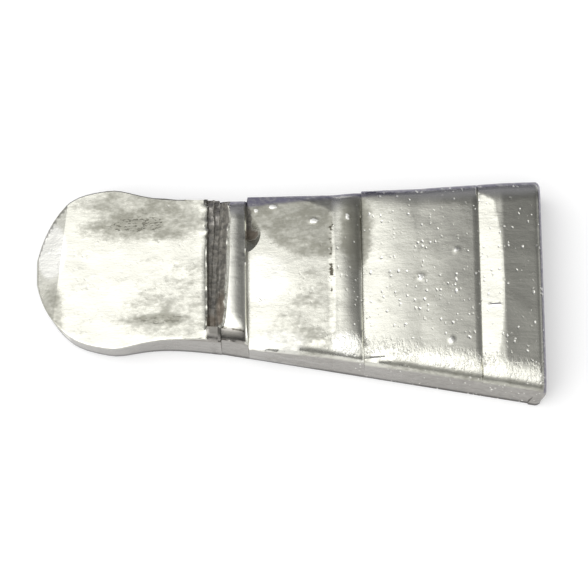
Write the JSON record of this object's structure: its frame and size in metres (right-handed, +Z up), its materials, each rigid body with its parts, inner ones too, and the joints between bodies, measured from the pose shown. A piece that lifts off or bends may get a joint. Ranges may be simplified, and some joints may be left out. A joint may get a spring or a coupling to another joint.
{
  "type": "steel handle wedge",
  "caption": "Small steel handle wedge: a thin rounded tip, barbed flats pressed across its top and a thick struck head.",
  "frame": {"origin": "on the flat underside, halfway along the wedge and in the middle of its whole width", "axes": "+X runs from the thin tip to the struck head, +Z is up out of the pressed face, and +Y is to the left of someone who looks from the tip to the head"},
  "size_m": [0.03, 0.0132, 0.0035],
  "materials": {
    "steel": "bright, pressed and tumbled, with pits, dings and a little brown scale in the torn groove"
  },
  "bodies": {
    "root": {"wedge": "steel"}
  },
  "joints": []
}
